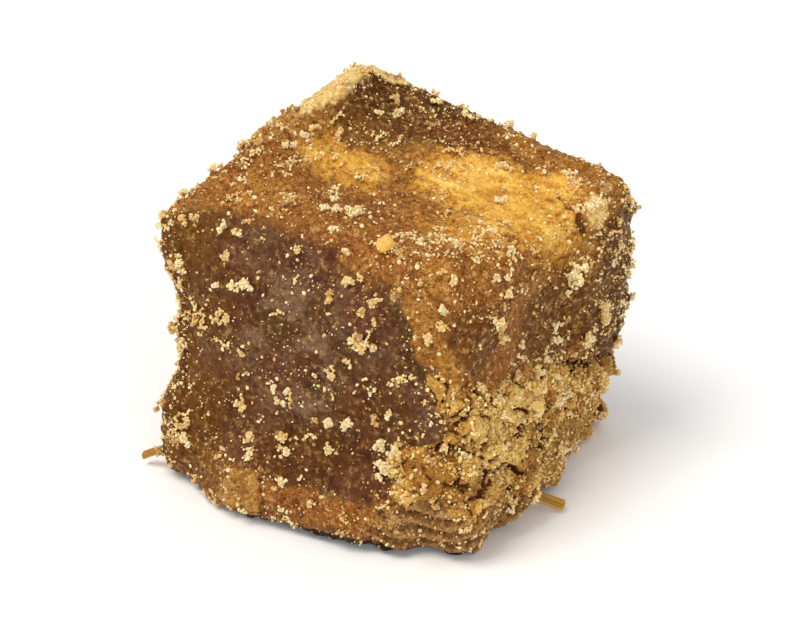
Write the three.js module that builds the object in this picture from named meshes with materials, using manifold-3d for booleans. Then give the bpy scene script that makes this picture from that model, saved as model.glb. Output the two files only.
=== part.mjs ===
// A hand-cut block of jaggery, the boiled-down cane sugar that is sold in rough cubes of about an inch.
// It was cut from a slab, and it stands on a cut side: -Y and +Y are the slab's two dark cast skins, and
// -X, +X, +Z and the flat foot are cut or broken faces. Low on the +X side it is broken and crumbly.
// Millimetres, +Z up. The origin is a point in the middle of the foot, on the surface that carries it.

import * as THREE from "three";
import { ImprovedNoise } from "three/addons/math/ImprovedNoise.js";
import { mergeVertices } from "three/addons/utils/BufferGeometryUtils.js";
import Module from "manifold-3d";

const wasm = await Module();
wasm.setup();

// ---- Driving dimensions ----

const WIDTH = 24.6; // along X, cut side to cut side
const DEPTH = 23.4; // along Y, skin to skin: the thickness of the slab
const HEIGHT = 21.8; // along Z, foot to the cut top
const EDGE_ROUNDING = 1.7; // radius of a worn edge
const FOOT_PRESS = 0.55; // how far the underside is pressed flat on the table
const CELLS = 22; // mesh cells along each side of the block
const WELD = 1e-4; // points closer than this are one point

// How far the knife left each corner from the true box, for the corner's signs along X, Y and Z.
const CORNERS = [
  { at: [-1, -1, -1], off: [-0.5, -1.6, 0.7] },
  { at: [1, -1, -1], off: [-0.4, 0.2, 0] },
  { at: [-1, 1, -1], off: [0.8, -0.6, 0] },
  { at: [1, 1, -1], off: [-1.35, 0.2, 0.3] },
  { at: [-1, -1, 1], off: [-1.5, 0.4, 0.4] },
  { at: [1, -1, 1], off: [-1.6, 0.2, 0.4] },
  { at: [-1, 1, 1], off: [3.2, 0.8, 3.0] },
  { at: [1, 1, 1], off: [1.3, -1.0, 0.6] },
];

// Where an edge is rounder than a worn one: an ellipsoid in the 2 x 2 x 2 cube that the block is shaped from,
// and the edge's radius there.
const ROUNDER_EDGES = [
  { middle: [0.75, -1, 1], radii: [1.5, 0.8, 0.8], radius: 5.5 }, // the slumped shoulder of the front skin
  { middle: [1, -1, -1], radii: [0.75, 0.75, 1.1], radius: 4.0 }, // the broken corner of the front foot
];

// Broad swellings, and hollows where the height is negative: an ellipsoid, and how far the surface moves.
// Each counts in full up to the first share of its radii, and not at all past the second.
const FADE = [0.55, 1.1];
const SWELLINGS = [
  { middle: [-0.4, -12.6, 0.4], radii: [9.6, 4.8, 8], height: 2.0 }, // the skin's spread foot
  { middle: [12.6, -4, 2], radii: [4.5, 9.5, 5], height: 1.1 }, // the spread foot of the broken side
  { middle: [-12.6, -11.5, 12.2], radii: [4, 4, 5.5], height: -1.2 }, // the waist of the front edge
  { middle: [3, 0.6, 22.5], radii: [14, 6.5, 5], height: -0.8 }, // the valley that the knife left on top
  { middle: [12.6, 8, 14], radii: [3, 6, 8.5], height: 1.2 }, // the bulge behind on the +X side
  { middle: [-12, 12, 1.5], radii: [5, 5, 5.5], height: -1.5 }, // the chipped corner of the back foot
];

// Uneven relief: the length of its waves, how high they are, and a shift that keeps each apart.
const HAND_WORK = { wavelength: 9, height: 0.45, shift: 3.1 };
const GRAINY_LUMPS = { wavelength: 3.4, height: 0.36, shift: 7.7 };
const SKIN_SMOOTHING = 0.7; // the share of the grainy lumps that a cast skin lacks
const SKIN_FACES = [0.75, 0.95]; // a surface is skin where its normal is this much along Y
const EDGE_ZONE = [0.72, 0.98]; // an edge begins at this share of the way from a face's middle

// The thick crust along the rim of the top on the -X side.
const CRUST = { middle: [-9.6, 4, 23.8], radii: [3.4, 9, 3], height: 1.35 };
const CRUST_LUMPS = { wavelength: 2.8, height: 1.2, shift: 8.2 };

// The broken zone on the +X side lies below a ledge that runs down from the front to the back.
const LEDGE = { frontY: -9.4, frontZ: 14.3, backY: 9, backZ: 7.8, slope: 1.2 };
const BROKEN_FRONT = { lowX: 7.0, lowZ: 5, highX: 10.6, highZ: 13, slope: 1.2 };
const BROKEN_EDGE = { wavelength: 3.2, height: 1.6, shift: 4.4 };
const BROKEN_MASS = 0.7;
const BROKEN_LUMPS = { wavelength: 2.6, height: 1.3, shift: 1.9 };
const CRACK = { frontY: -8, frontZ: 4.2, backY: 3, backZ: 8.2, fromX: 10, halfWidth: 0.7, depth: 0.9 };
const CRACK_END = 2; // the length over which the crack runs out
const CRACK_WANDER = { wavelength: 3, height: 0.9, shift: 6.6 };

// Crumbs as large as a mustard seed that stuck where they fell.
const LARGE_CRUMBS = [
  { at: [3.7, -7.2, 21.6], radius: 0.75 },
  { at: [4.5, -11.6, 17.2], radius: 0.8 },
  { at: [-2.4, -12.2, 10], radius: 0.65 },
  { at: [5.6, 5.3, 22.6], radius: 0.7 },
  { at: [12.2, 4.5, 21.8], radius: 1.0 },
  { at: [12.5, 7.2, 21.9], radius: 0.9 },
  { at: [11.7, -5.8, 17.6], radius: 0.9 },
  { at: [12.6, 4.3, 11.2], radius: 1.0 },
  { at: [-0.8, -12.5, 5.6], radius: 0.7 },
  { at: [-4.8, -7, 22.2], radius: 0.6 },
  { at: [-12.4, -11.4, 21], radius: 0.8 },
];
const SMALL_CRUMBS = 130;
const SMALL_CRUMB_RADIUS = { least: 0.32, most: 0.72 };
const CRUMB_LIKING = { anywhere: 0.08, edge: 0.45 }; // how readily one sticks, where 1 is the broken zone
const LUMPY_FROM = 0.5; // crumbs of a larger radius than this have more sides
const CRUMB_UNEVENNESS = { least: 0.8, most: 1.2 };
const CRUMB_FLATNESS = 0.75;
const CRUMBS_ABOVE = 1.3; // no crumb is fused lower than this, clear of the surface below
const RANDOM_SEED = 41;

// Ends of cane fibre that stick out near the foot: their start inside the block, a bend, and their tip.
const FIBRES = [
  { along: [[10.8, -2.4, 1.5], [13.2, -1.9, 1.1], [15.0, -1.3, 0.6]], radius: 0.36 },
  { along: [[-11.2, -11.4, 2.2], [-13.2, -12.0, 1.6], [-14.4, -12.3, 0.8]], radius: 0.28 },
];
const FIBRE_SIDES = 6;
const FIBRE_STEPS = 6;

// ---- Small helpers ----

const noise = new ImprovedNoise();
const vector = (xyz) => new THREE.Vector3(...xyz);

// Smooth random waves over space.
function waves(p, { wavelength, height, shift }) {
  const q = p.clone().divideScalar(wavelength);
  return height * noise.noise(q.x + shift, q.y - shift, q.z + 2 * shift);
}

// 0 below the low value, 1 above the high one, and a soft slope between.
const rise = (value, low, high) => THREE.MathUtils.smoothstep(value, low, high);

// 1 inside an ellipsoid, falling to 0 a little outside it.
function inside(p, { middle, radii }) {
  const away = p.clone().sub(vector(middle)).divide(vector(radii));
  return 1 - rise(away.length(), ...FADE);
}

// The height, at a place along Y, of a line that is given at its front and its back.
const heightAt = (line, y) =>
  THREE.MathUtils.mapLinear(y, line.frontY, line.backY, line.frontZ, line.backZ);

// ---- The block's own form ----

// A point of the 2 x 2 x 2 cube, with the cube's edges rounded.
function roundedPoint(cubePoint) {
  let radius = EDGE_ROUNDING;
  for (const rounder of ROUNDER_EDGES) {
    radius += (rounder.radius - EDGE_ROUNDING) * inside(cubePoint, rounder);
  }
  const rounding = (2 * radius) / Math.min(WIDTH, DEPTH, HEIGHT);
  const core = cubePoint.clone().clampScalar(rounding - 1, 1 - rounding);
  return core.add(cubePoint.clone().sub(core).normalize().multiplyScalar(rounding));
}

// A point of the cube carried into the real box, with each corner where the knife left it.
function cutPoint(u) {
  const p = new THREE.Vector3((u.x * WIDTH) / 2, (u.y * DEPTH) / 2, ((u.z + 1) * HEIGHT) / 2);
  for (const { at, off } of CORNERS) {
    const share = ((1 + at[0] * u.x) * (1 + at[1] * u.y) * (1 + at[2] * u.z)) / 8;
    p.addScaledVector(vector(off), share);
  }
  return p;
}

// How much of the broken zone a point belongs to, from 0 to 1.
function brokenness(p) {
  const ragged = waves(p, BROKEN_EDGE);
  const belowLedge = rise(heightAt(LEDGE, p.y) + ragged - p.z, 0, LEDGE.slope);
  const { lowX, lowZ, highX, highZ, slope } = BROKEN_FRONT;
  const fromX = THREE.MathUtils.mapLinear(p.z, lowZ, highZ, lowX, highX);
  const onSide = rise(p.x + ragged / 2 - fromX, 0, slope);
  return belowLedge * onSide;
}

// The depth of the one crack that runs through the broken zone.
function crackDepth(p) {
  const away = Math.abs(p.z - heightAt(CRACK, p.y) + waves(p, CRACK_WANDER));
  const onSide = rise(p.x, CRACK.fromX, CRACK.fromX + CRACK_END);
  const beforeBack = 1 - rise(p.y, CRACK.backY, CRACK.backY + CRACK_END);
  return CRACK.depth * onSide * beforeBack * (1 - rise(away, 0, CRACK.halfWidth));
}

// How far the surface moves along its normal, in millimetres.
function relief(p, normal) {
  const skin = rise(Math.abs(normal.y), ...SKIN_FACES);
  let height = waves(p, HAND_WORK) + waves(p, GRAINY_LUMPS) * (1 - SKIN_SMOOTHING * skin);
  for (const swelling of SWELLINGS) {
    height += swelling.height * inside(p, swelling);
  }
  height += inside(p, CRUST) * (CRUST.height + waves(p, CRUST_LUMPS));
  height += brokenness(p) * (BROKEN_MASS + waves(p, BROKEN_LUMPS));
  return height - crackDepth(p);
}

// The block as one closed sheet of points, and for each of them how near it is to an edge, from 0 to 1.
function blockSurface() {
  const cube = new THREE.BoxGeometry(2, 2, 2, CELLS, CELLS, CELLS);
  cube.deleteAttribute("normal");
  cube.deleteAttribute("uv");
  const geometry = mergeVertices(cube, WELD);
  const place = geometry.getAttribute("position");
  const point = new THREE.Vector3();
  const nearEdge = [];
  for (let i = 0; i < place.count; i++) {
    point.fromBufferAttribute(place, i);
    const [, second] = point.toArray().map(Math.abs).sort((a, b) => b - a);
    nearEdge.push(rise(second, ...EDGE_ZONE));
    place.setXYZ(i, ...cutPoint(roundedPoint(point)));
  }
  geometry.computeVertexNormals();
  const outward = geometry.getAttribute("normal");
  const normal = new THREE.Vector3();
  for (let i = 0; i < place.count; i++) {
    point.fromBufferAttribute(place, i);
    normal.fromBufferAttribute(outward, i);
    point.addScaledVector(normal, relief(point, normal));
    place.setXYZ(i, point.x, point.y, Math.max(0, point.z - FOOT_PRESS));
  }
  geometry.computeVertexNormals();
  return { geometry, nearEdge };
}

// ---- Solids ----

function solidOf(geometry) {
  const bare = geometry.clone();
  bare.deleteAttribute("normal");
  bare.deleteAttribute("uv");
  const merged = mergeVertices(bare, WELD);
  return new wasm.Manifold(
    new wasm.Mesh({
      numProp: 3,
      vertProperties: new Float32Array(merged.getAttribute("position").array),
      triVerts: new Uint32Array(merged.index.array),
    }),
  );
}

function geometryOf(solid) {
  const mesh = solid.getMesh();
  const geometry = new THREE.BufferGeometry();
  geometry.setAttribute("position", new THREE.BufferAttribute(mesh.vertProperties, 3));
  geometry.setIndex(new THREE.BufferAttribute(mesh.triVerts, 1));
  geometry.computeVertexNormals();
  return geometry;
}

// ---- Crumbs, fused to what they lie on ----

THREE.MathUtils.seededRandom(RANDOM_SEED);
const between = (low, high) => THREE.MathUtils.lerp(low, high, THREE.MathUtils.seededRandom());

// An angular lump, a little flat and turned at random.
function crumbSolid(middle, radius) {
  const Lump = radius < LUMPY_FROM ? THREE.OctahedronGeometry : THREE.IcosahedronGeometry;
  const lump = new Lump(radius, 0);
  lump.deleteAttribute("normal");
  lump.deleteAttribute("uv");
  const corners = mergeVertices(lump, WELD);
  const place = corners.getAttribute("position");
  const corner = new THREE.Vector3();
  for (let i = 0; i < place.count; i++) {
    corner.fromBufferAttribute(place, i);
    corner.multiplyScalar(between(CRUMB_UNEVENNESS.least, CRUMB_UNEVENNESS.most));
    place.setXYZ(i, corner.x, corner.y, corner.z * CRUMB_FLATNESS);
  }
  corners.rotateX(between(0, Math.PI));
  corners.rotateZ(between(0, Math.PI));
  corners.translate(...middle);
  return solidOf(corners);
}

// Every crumb's place on the surface and its radius: the large ones, then small ones where sugar crumbles.
function crumbsOn({ geometry, nearEdge }) {
  const place = geometry.getAttribute("position");
  const outward = geometry.getAttribute("normal");
  const spots = [];
  for (let i = 0; i < place.count; i++) {
    const at = new THREE.Vector3().fromBufferAttribute(place, i);
    const normal = new THREE.Vector3().fromBufferAttribute(outward, i);
    const liking = Math.max(
      CRUMB_LIKING.anywhere,
      CRUMB_LIKING.edge * nearEdge[i],
      inside(at, CRUST),
      brokenness(at),
    );
    if (at.z > CRUMBS_ABOVE) spots.push({ at, normal, liking });
  }
  const crumbs = LARGE_CRUMBS.map(({ at, radius }) => {
    const wanted = vector(at);
    const nearest = spots.reduce((a, b) => (b.at.distanceTo(wanted) < a.at.distanceTo(wanted) ? b : a));
    const height = wanted.clone().sub(nearest.at).dot(nearest.normal);
    return { at: wanted.addScaledVector(nearest.normal, -height), radius };
  });
  while (crumbs.length < LARGE_CRUMBS.length + SMALL_CRUMBS) {
    const spot = spots[Math.floor(between(0, spots.length))];
    const radius = between(SMALL_CRUMB_RADIUS.least, SMALL_CRUMB_RADIUS.most);
    const room = crumbs.every((other) => other.at.distanceTo(spot.at) > other.radius + radius);
    if (room && between(0, 1) < spot.liking) crumbs.push({ at: spot.at, radius });
  }
  return crumbs;
}

// ---- Fibres of cane, fused where they come out ----

function fibreSolid({ along, radius }) {
  const outline = new THREE.Shape();
  for (let side = 0; side < FIBRE_SIDES; side++) {
    const angle = (2 * Math.PI * side) / FIBRE_SIDES;
    outline[side ? "lineTo" : "moveTo"](radius * Math.cos(angle), radius * Math.sin(angle));
  }
  const path = new THREE.QuadraticBezierCurve3(...along.map(vector));
  const options = { steps: FIBRE_STEPS, extrudePath: path };
  return solidOf(new THREE.ExtrudeGeometry(outline, options));
}

// ---- The part ----

const surface = blockSurface();
let block = solidOf(surface.geometry);
for (const { at, radius } of crumbsOn(surface)) {
  block = block.add(crumbSolid(at, radius));
}
for (const fibre of FIBRES) {
  block = block.add(fibreSolid(fibre));
}

const jaggery = new THREE.MeshStandardMaterial({ color: 0x8a5a34, roughness: 0.6, metalness: 0 });
const blockMesh = new THREE.Mesh(geometryOf(block), jaggery);
blockMesh.name = "jaggery_block";

const part = new THREE.Group();
part.add(blockMesh);

export default part;
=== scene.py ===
# %% [markdown]
# # A block of jaggery
#
# Jaggery is cane juice boiled down until it sets. It is poured into a slab, and the slab is cut by hand into
# cubes of about an inch. Two sides of this cube are the slab's cast skins, dark and waxy. The others are cut or
# broken, so they show the inside: pinkish brown under the skin, honey yellow in the middle, olive brown beyond.
# Pale sugar grains and crumbs stick all over it.
#
# The lesson takes a plain solid of the block, which has the right size and form, and gives it a real surface.

# %% Load the solid that everything is built around
import math

import bmesh
import bpy
import numpy as np
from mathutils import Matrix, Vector, noise


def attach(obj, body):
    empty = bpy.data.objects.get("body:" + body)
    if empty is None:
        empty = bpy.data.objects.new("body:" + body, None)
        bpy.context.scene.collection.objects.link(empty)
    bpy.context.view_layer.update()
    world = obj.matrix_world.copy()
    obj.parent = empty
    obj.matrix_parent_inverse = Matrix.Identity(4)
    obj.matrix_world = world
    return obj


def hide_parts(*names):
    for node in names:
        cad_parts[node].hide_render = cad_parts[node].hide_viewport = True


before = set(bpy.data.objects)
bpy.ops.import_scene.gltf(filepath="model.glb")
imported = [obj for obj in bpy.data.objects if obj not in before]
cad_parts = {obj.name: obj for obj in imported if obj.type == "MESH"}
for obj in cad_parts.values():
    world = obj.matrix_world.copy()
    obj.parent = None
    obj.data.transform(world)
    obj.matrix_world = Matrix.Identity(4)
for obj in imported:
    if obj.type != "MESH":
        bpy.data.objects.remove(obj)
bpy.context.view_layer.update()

MM = 0.001  # the scene is in metres, and the lesson thinks in millimetres
block_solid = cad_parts["jaggery_block"]

# %% [markdown]
# ## The table, the light and the camera
#
# The block stands on a plain white table. One broad lamp from the upper left models the form and leaves a soft
# shadow on the right, and a bright white room fills in the rest. The camera comes first, because the sizes of
# the finest details are chosen by how close it stands.

# %% The white table
def set_inputs(node, values):
    """Sets several of a node's inputs, by name."""
    for name, value in values.items():
        node.inputs[name].default_value = value


TABLE_SIZE = 4.0  # metres
TABLE_WHITE = (0.98, 0.98, 0.98, 1)

half = TABLE_SIZE / 2
table_corners = [(-half, -half, 0), (half, -half, 0), (half, half, 0), (-half, half, 0)]
table_mesh = bpy.data.meshes.new("table_top")
table_mesh.from_pydata(table_corners, [], [(0, 1, 2, 3)])
table_top = bpy.data.objects.new("table_top", table_mesh)
bpy.context.collection.objects.link(table_top)

table_white = bpy.data.materials.new("table_white")
table_white.use_nodes = True
set_inputs(table_white.node_tree.nodes["Principled BSDF"], {"Base Color": TABLE_WHITE, "Roughness": 0.6})
table_mesh.materials.append(table_white)
print("the table is", TABLE_SIZE, "m wide")

# %% The camera looks down at the corner between the front skin and the broken side
LOOK_AT = Vector((0, 0, 11)) * MM
AZIMUTH, ELEVATION = math.radians(32), math.radians(31)
DISTANCE = 0.2  # metres
LENS = 124  # mm

towards_camera = Vector((
    math.sin(AZIMUTH) * math.cos(ELEVATION),
    -math.cos(AZIMUTH) * math.cos(ELEVATION),
    math.sin(ELEVATION),
))
camera = bpy.data.objects.new("camera", bpy.data.cameras.new("camera"))
camera.data.lens = LENS
camera.data.clip_start = 0.01
camera.location = LOOK_AT + towards_camera * DISTANCE
camera.rotation_euler = (-towards_camera).to_track_quat("-Z", "Y").to_euler()
bpy.context.collection.objects.link(camera)
bpy.context.scene.camera = camera
print("the camera stands", round(DISTANCE / MM), "mm away")

# %% The lamps and the white surroundings
ROOM_BRIGHTNESS = 0.6


def lamp(name, place, size, power, colour=(1, 1, 1)):
    """A square lamp at a place in metres, turned towards the block."""
    light = bpy.data.lights.new(name, "AREA")
    light.size = size
    light.energy = power
    light.color = colour
    holder = bpy.data.objects.new(name, light)
    holder.location = place
    holder.rotation_euler = (Vector(place) - LOOK_AT).to_track_quat("Z", "Y").to_euler()
    bpy.context.collection.objects.link(holder)
    print("the", name.replace("_", " "), "gives", power, "W")


lamp("key_lamp", (-0.36, -0.5, 1.3), size=0.7, power=13.0, colour=(1, 0.96, 0.9))
lamp("side_lamp", (1.1, -0.9, 0.7), size=0.6, power=5.0)

room = bpy.data.worlds.new("white_room")
room.use_nodes = True
set_inputs(room.node_tree.nodes["Background"], {"Color": (1, 1, 1, 1), "Strength": ROOM_BRIGHTNESS})
bpy.context.scene.world = room
bpy.context.scene.view_settings.view_transform = "Standard"

# %% [markdown]
# ## A fine, even skin of points
#
# The solid is faceted, with faces about a millimetre wide. The real surface changes over a fifth of that. A voxel
# remesh lays an even net of small squares over the solid, whatever its faces were, so relief can be pushed in
# anywhere. The net is then relaxed, which melts the facets away and the solid's crumbs with them. Where those
# crumbs were is kept in a list, because crumbs built of real grains will take their places.

# %% Read and move the points of a mesh
def positions(mesh):
    """The points of a mesh in millimetres, one row each."""
    flat = np.empty(len(mesh.vertices) * 3)
    mesh.vertices.foreach_get("co", flat)
    return flat.reshape(-1, 3) / MM


def place_points(mesh, points):
    mesh.vertices.foreach_set("co", (points * MM).ravel())
    mesh.update()


def outward(mesh):
    """The direction of the surface at each point."""
    flat = np.empty(len(mesh.vertices) * 3, dtype=np.float32)
    mesh.vertex_normals.foreach_get("vector", flat)
    return flat.reshape(-1, 3).astype(float)


def edges_of(mesh):
    flat = np.empty(len(mesh.edges) * 2, dtype=np.int32)
    mesh.edges.foreach_get("vertices", flat)
    return flat.reshape(-1, 2)


def unit(vectors):
    """The same directions, each with length 1."""
    return vectors / np.linalg.norm(vectors, axis=-1, keepdims=True)


# %% Where two ends of cane fibre stick out
FIBRE_PATHS = {
    "right_fibre": np.array([(10.8, -2.4, 1.5), (13.2, -1.9, 1.1), (15.0, -1.3, 0.6)]),
    "left_fibre": np.array([(-11.2, -11.4, 2.2), (-13.2, -12.0, 1.6), (-14.4, -12.3, 0.8)]),
}
FIBRE_REACH = 0.5  # mm around a path, which holds the solid's own plain stub


def distance_to_path(points, path):
    """How far each point is from a line of straight pieces."""
    nearest = np.full(len(points), np.inf)
    for start, end in zip(path[:-1], path[1:]):
        stretch = end - start
        along = np.clip((points - start) @ stretch / (stretch @ stretch), 0, 1)
        nearest = np.minimum(nearest, np.linalg.norm(points - start - along[:, None] * stretch, axis=1))
    return nearest


for name, path in FIBRE_PATHS.items():
    print(name, "is", round(float(np.linalg.norm(np.diff(path, axis=0), axis=1).sum()), 1), "mm long")

# %% Lay a net over the solid
NET_SIZE = 0.17  # mm between neighbouring points

block = block_solid.copy()
block.data = block_solid.data.copy()
block.parent = None
block.name = "jaggery_block_surface"
bpy.context.collection.objects.link(block)
for key in [key for key in block.keys() if key.startswith("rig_")]:
    del block[key]

coarse = positions(block.data)
for path in FIBRE_PATHS.values():  # the plain stubs go, and real threads come later
    coarse[distance_to_path(coarse, path) < FIBRE_REACH] = path[0]
place_points(block.data, coarse)

net = block.modifiers.new("net", "REMESH")
net.mode = "VOXEL"
net.voxel_size = NET_SIZE * MM
applied = bpy.data.meshes.new_from_object(block.evaluated_get(bpy.context.evaluated_depsgraph_get()))
block.modifiers.clear()
block.data = applied
block.data.name = "jaggery_block_surface"
surface = block.data
print("the net has", len(surface.vertices), "points and", len(surface.polygons), "squares")

# %% Relax the net
def relaxed(values, edges, rounds):
    """Each round moves every value, or point, halfway to the mean of its neighbours."""
    columns = values.reshape(len(values), -1)
    count = np.bincount(edges.ravel(), minlength=len(columns))[:, None]
    for _ in range(rounds):
        near = np.stack([
            np.bincount(edges[:, 0], column[edges[:, 1]], len(column))
            + np.bincount(edges[:, 1], column[edges[:, 0]], len(column))
            for column in columns.T
        ], axis=1) / count
        columns = (columns + near) / 2
    return columns.reshape(values.shape)


SMOOTHING_ROUNDS, MELTING_ROUNDS = 4, 26

net_edges = edges_of(surface)
as_cut = relaxed(positions(surface), net_edges, SMOOTHING_ROUNDS)
melted = relaxed(as_cut, net_edges, MELTING_ROUNDS)
place_points(surface, melted)
standing_out = np.einsum("ij,ij->i", as_cut - melted, outward(surface))
print("the net was relaxed by up to", round(float(np.abs(standing_out).max()), 2), "mm")

# %% Where the solid has crumbs
def peaks(points, heights, least, apart):
    """Points that stand out most, none of them closer together than a distance."""
    chosen = []
    for i in np.argsort(-heights):
        if heights[i] < least:
            break
        if all(np.linalg.norm(points[i] - points[j]) > apart for j in chosen):
            chosen.append(i)
    return np.array(chosen)


LOWEST_CRUMB = 1.2  # mm above the table, so that none hangs from the foot

crumb_peaks = peaks(melted, standing_out, least=0.13, apart=0.9)
crumb_peaks = crumb_peaks[melted[crumb_peaks, 2] > LOWEST_CRUMB]
print("the solid has", len(crumb_peaks), "crumbs and sharp corners")

# %% [markdown]
# ## Where each kind of surface is
#
# One look can't cover the whole block. So each point gets a few numbers from 0 to 1 that say how much it belongs
# to the cast skin, the honey core, the broken side and so on. They follow from how the slab was made: its colour
# changes from one skin to the other, which is along Y. The same numbers later steer the relief, the colours
# and where sugar grains stick. Their borders are bent by smooth noise, as nothing in boiled sugar is straight.

# %% Random waves and random chunks
def soft_step(value, low, high):
    """0 below low, 1 above high, and a soft slope between."""
    share = np.clip((value - low) / (high - low), 0, 1)
    return share * share * (3 - 2 * share)


def waves(points, length, seed):
    """Smooth random waves of a length in millimetres, or of one for each axis, from about -1 to 1."""
    shift = Vector((17.3, 5.9, 11.1)) * seed
    return np.array([noise.noise(Vector(p) + shift) for p in points / length])


def chunks(points, size, seed):
    """Closely packed chunks. At each point: how high its chunk is, how the chunk's top slants there, how far its
    border is, and the chunk's own random number."""
    shift = Vector((7.7, 13.9, 3.3)) * seed
    rows = []
    for p in points / size:
        place = Vector(p) + shift
        away, centres = noise.voronoi(place)
        lean = 2 * noise.cell_vector(centres[0] * 5.3) - Vector((1, 1, 1))
        number = 0.5 + 0.5 * noise.cell(centres[0] * 3.1)
        rows.append((1 - away[0], lean.dot(place - centres[0]), away[1] - away[0], number))
    return np.array(rows).T


# %% The outlines of the zones, in millimetres, each as a line from point to point
SKIN_TOP = {"x": [-12, 0, 1, 5, 6.5, 8, 10.2, 11.6], "z": [21.4, 21.4, 19.9, 19.8, 19.0, 16.2, 14.0, 12.4]}
SKIN_RIGHT = {
    "z": [3.4, 5, 6, 7.5, 9, 10, 12, 14, 20],
    "x": [5.2, 6.8, 6.9, 6.6, 8.2, 10.2, 11.6, 11.3, 10.8],
}
SKIN_FOOT = {"x": [-12, -9.5, -3, 0, 6], "z": [4.8, 5.0, 4.8, 4.4, 4.2]}
LEDGE = {
    "y": [-11, -10, -8, -5, -2, 0, 2, 4, 6, 9],
    "z": [15.0, 14.2, 12.8, 12.0, 11.3, 10.9, 10.0, 9.0, 8.4, 7.4],
}
STRATA_BOWL = (9.8, -12, 8.2)  # the layers at the foot lie like bowls around this point
STRATA_STEP = 1.15  # from one layer to the next
BEND, RAGGEDNESS = 0.6, 0.45  # how far the borders wander, in long waves and in short ones


def blob(points, middle, radii, soft=0.35):
    """1 inside an ellipsoid, falling to 0 across its border."""
    away = np.linalg.norm((points - np.array(middle)) / np.array(radii), axis=1)
    return 1 - soft_step(away, 1 - soft, 1 + soft)


def any_of(*shares):
    return np.maximum.reduce(shares)


# %% Which way each point faces, and the crooked borders
def area(middle, radii, soft=0.35):
    """A blob with a crooked border."""
    return blob(bent, middle, radii, soft)


body_points, body_normals = positions(surface), outward(surface)
bend = np.stack([waves(body_points, 2.4, seed) for seed in (1, 2, 3)], axis=1)
ragged = np.stack([waves(body_points, 0.8, seed) for seed in (4, 5, 6)], axis=1)
bent = body_points + BEND * bend + RAGGEDNESS * ragged
x, y, z = bent.T
faces_front = soft_step(-body_normals[:, 1], 0.15, 0.5) * soft_step(-y, 7, 9)
faces_back = soft_step(body_normals[:, 1], 0.35, 0.7)
faces_right = soft_step(body_normals[:, 0], 0.25, 0.6)
faces_left = soft_step(-body_normals[:, 0], 0.25, 0.6)

skin_top = np.interp(x, SKIN_TOP["x"], SKIN_TOP["z"])
skin_x = np.interp(z, SKIN_RIGHT["z"], SKIN_RIGHT["x"])
skin_foot = np.interp(x, SKIN_FOOT["x"], SKIN_FOOT["z"])
front_skin = faces_front * soft_step(skin_top - z, -1.1, 0.9) * soft_step(skin_x - x, -0.5, 0.5)
front_skin *= soft_step(z - skin_foot, -0.8, 0.8)
ledge_z = np.interp(y, LEDGE["y"], LEDGE["z"])
right_of_skin = np.maximum(soft_step(x - skin_x, -0.2, 0.8), faces_right)
print("the borders wander by up to", round(float(np.abs(bent - body_points).max()), 1), "mm")

# %% The zones of the two skins
zones = {}
zones["skin"] = any_of(front_skin, faces_back * soft_step(z, 1.5, 4))
zones["left_glow"] = faces_front * (1 - soft_step(body_points[:, 0] + bend[:, 0], -10, -3.8))
# A pale frost in the middle of the skin. It is partly dried sugar and partly a painted sheen.
zones["frost_and_sheen"] = front_skin * any_of(
    area((-3, -12.5, 15.5), (5, 4, 3), 0.7), 0.6 * area((1.0, -12.5, 9.5), (4, 4, 2), 0.7)
)
zones["burnt"] = front_skin * any_of(
    area((-7, -12.5, 8), (3.4, 4, 3), 0.7),
    area((5.5, -12.5, 11), (3, 4, 3), 0.7),
    area((0, -12.5, 6.0), (5, 4, 2.2), 0.6),
)

# %% The zones of the broken side and of the foot
zones["strata"] = any_of(area((9.4, -11.3, 2.0), (4.4, 3.8, 3.0)), area((12.8, -7.2, 1.4), (2.4, 4.4, 2.4)))
below_ledge = soft_step(ledge_z - z, -0.4, 0.5) * right_of_skin * soft_step(x, 4.5, 7)
zones["worn_side"] = right_of_skin * area((13, 2.5, 2.2), (3, 5.5, 2.8), 0.4)
zones["broken"] = any_of(
    below_ledge * (1 - 0.9 * zones["strata"]) * (1 - 0.85 * zones["worn_side"]),
    0.75 * faces_left * area((-13, 4, 4), (4, 9, 6)),
)
zones["smooth_mass"] = zones["broken"] * any_of(
    area((12.8, -5.0, 9.2), (3, 3.2, 1.7), 0.35),
    area((9.6, -11.2, 7.0), (2.2, 2.2, 1.8), 0.35),
    area((13.0, -3.2, 5.0), (3, 1.8, 2.0), 0.4),
    area((12.4, 5.4, 4.6), (3, 2.4, 2.0), 0.4),
    area((13.0, 0.4, 8.0), (3, 1.6, 1.3), 0.4),
)
zones["bright_flake"] = zones["broken"] * area((12.8, -6.0, 8.6), (3, 3.2, 3.2), 0.5)
zones["foot_band"] = faces_front * (1 - soft_step(z - skin_foot, -0.7, 0.7)) * (1 - soft_step(x, 5, 8))
zones["foot_orange"] = faces_front * area((1.5, -13, 3.2), (4.6, 4, 1.6), 0.6)
zones["shelf"] = faces_front * soft_step(x, -6.4, -5.2) * (1 - soft_step(x, -2.6, -2.2))
zones["shelf"] *= soft_step(z, 0.6, 1.4) * (1 - soft_step(z, 4.0, 4.6))

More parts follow.
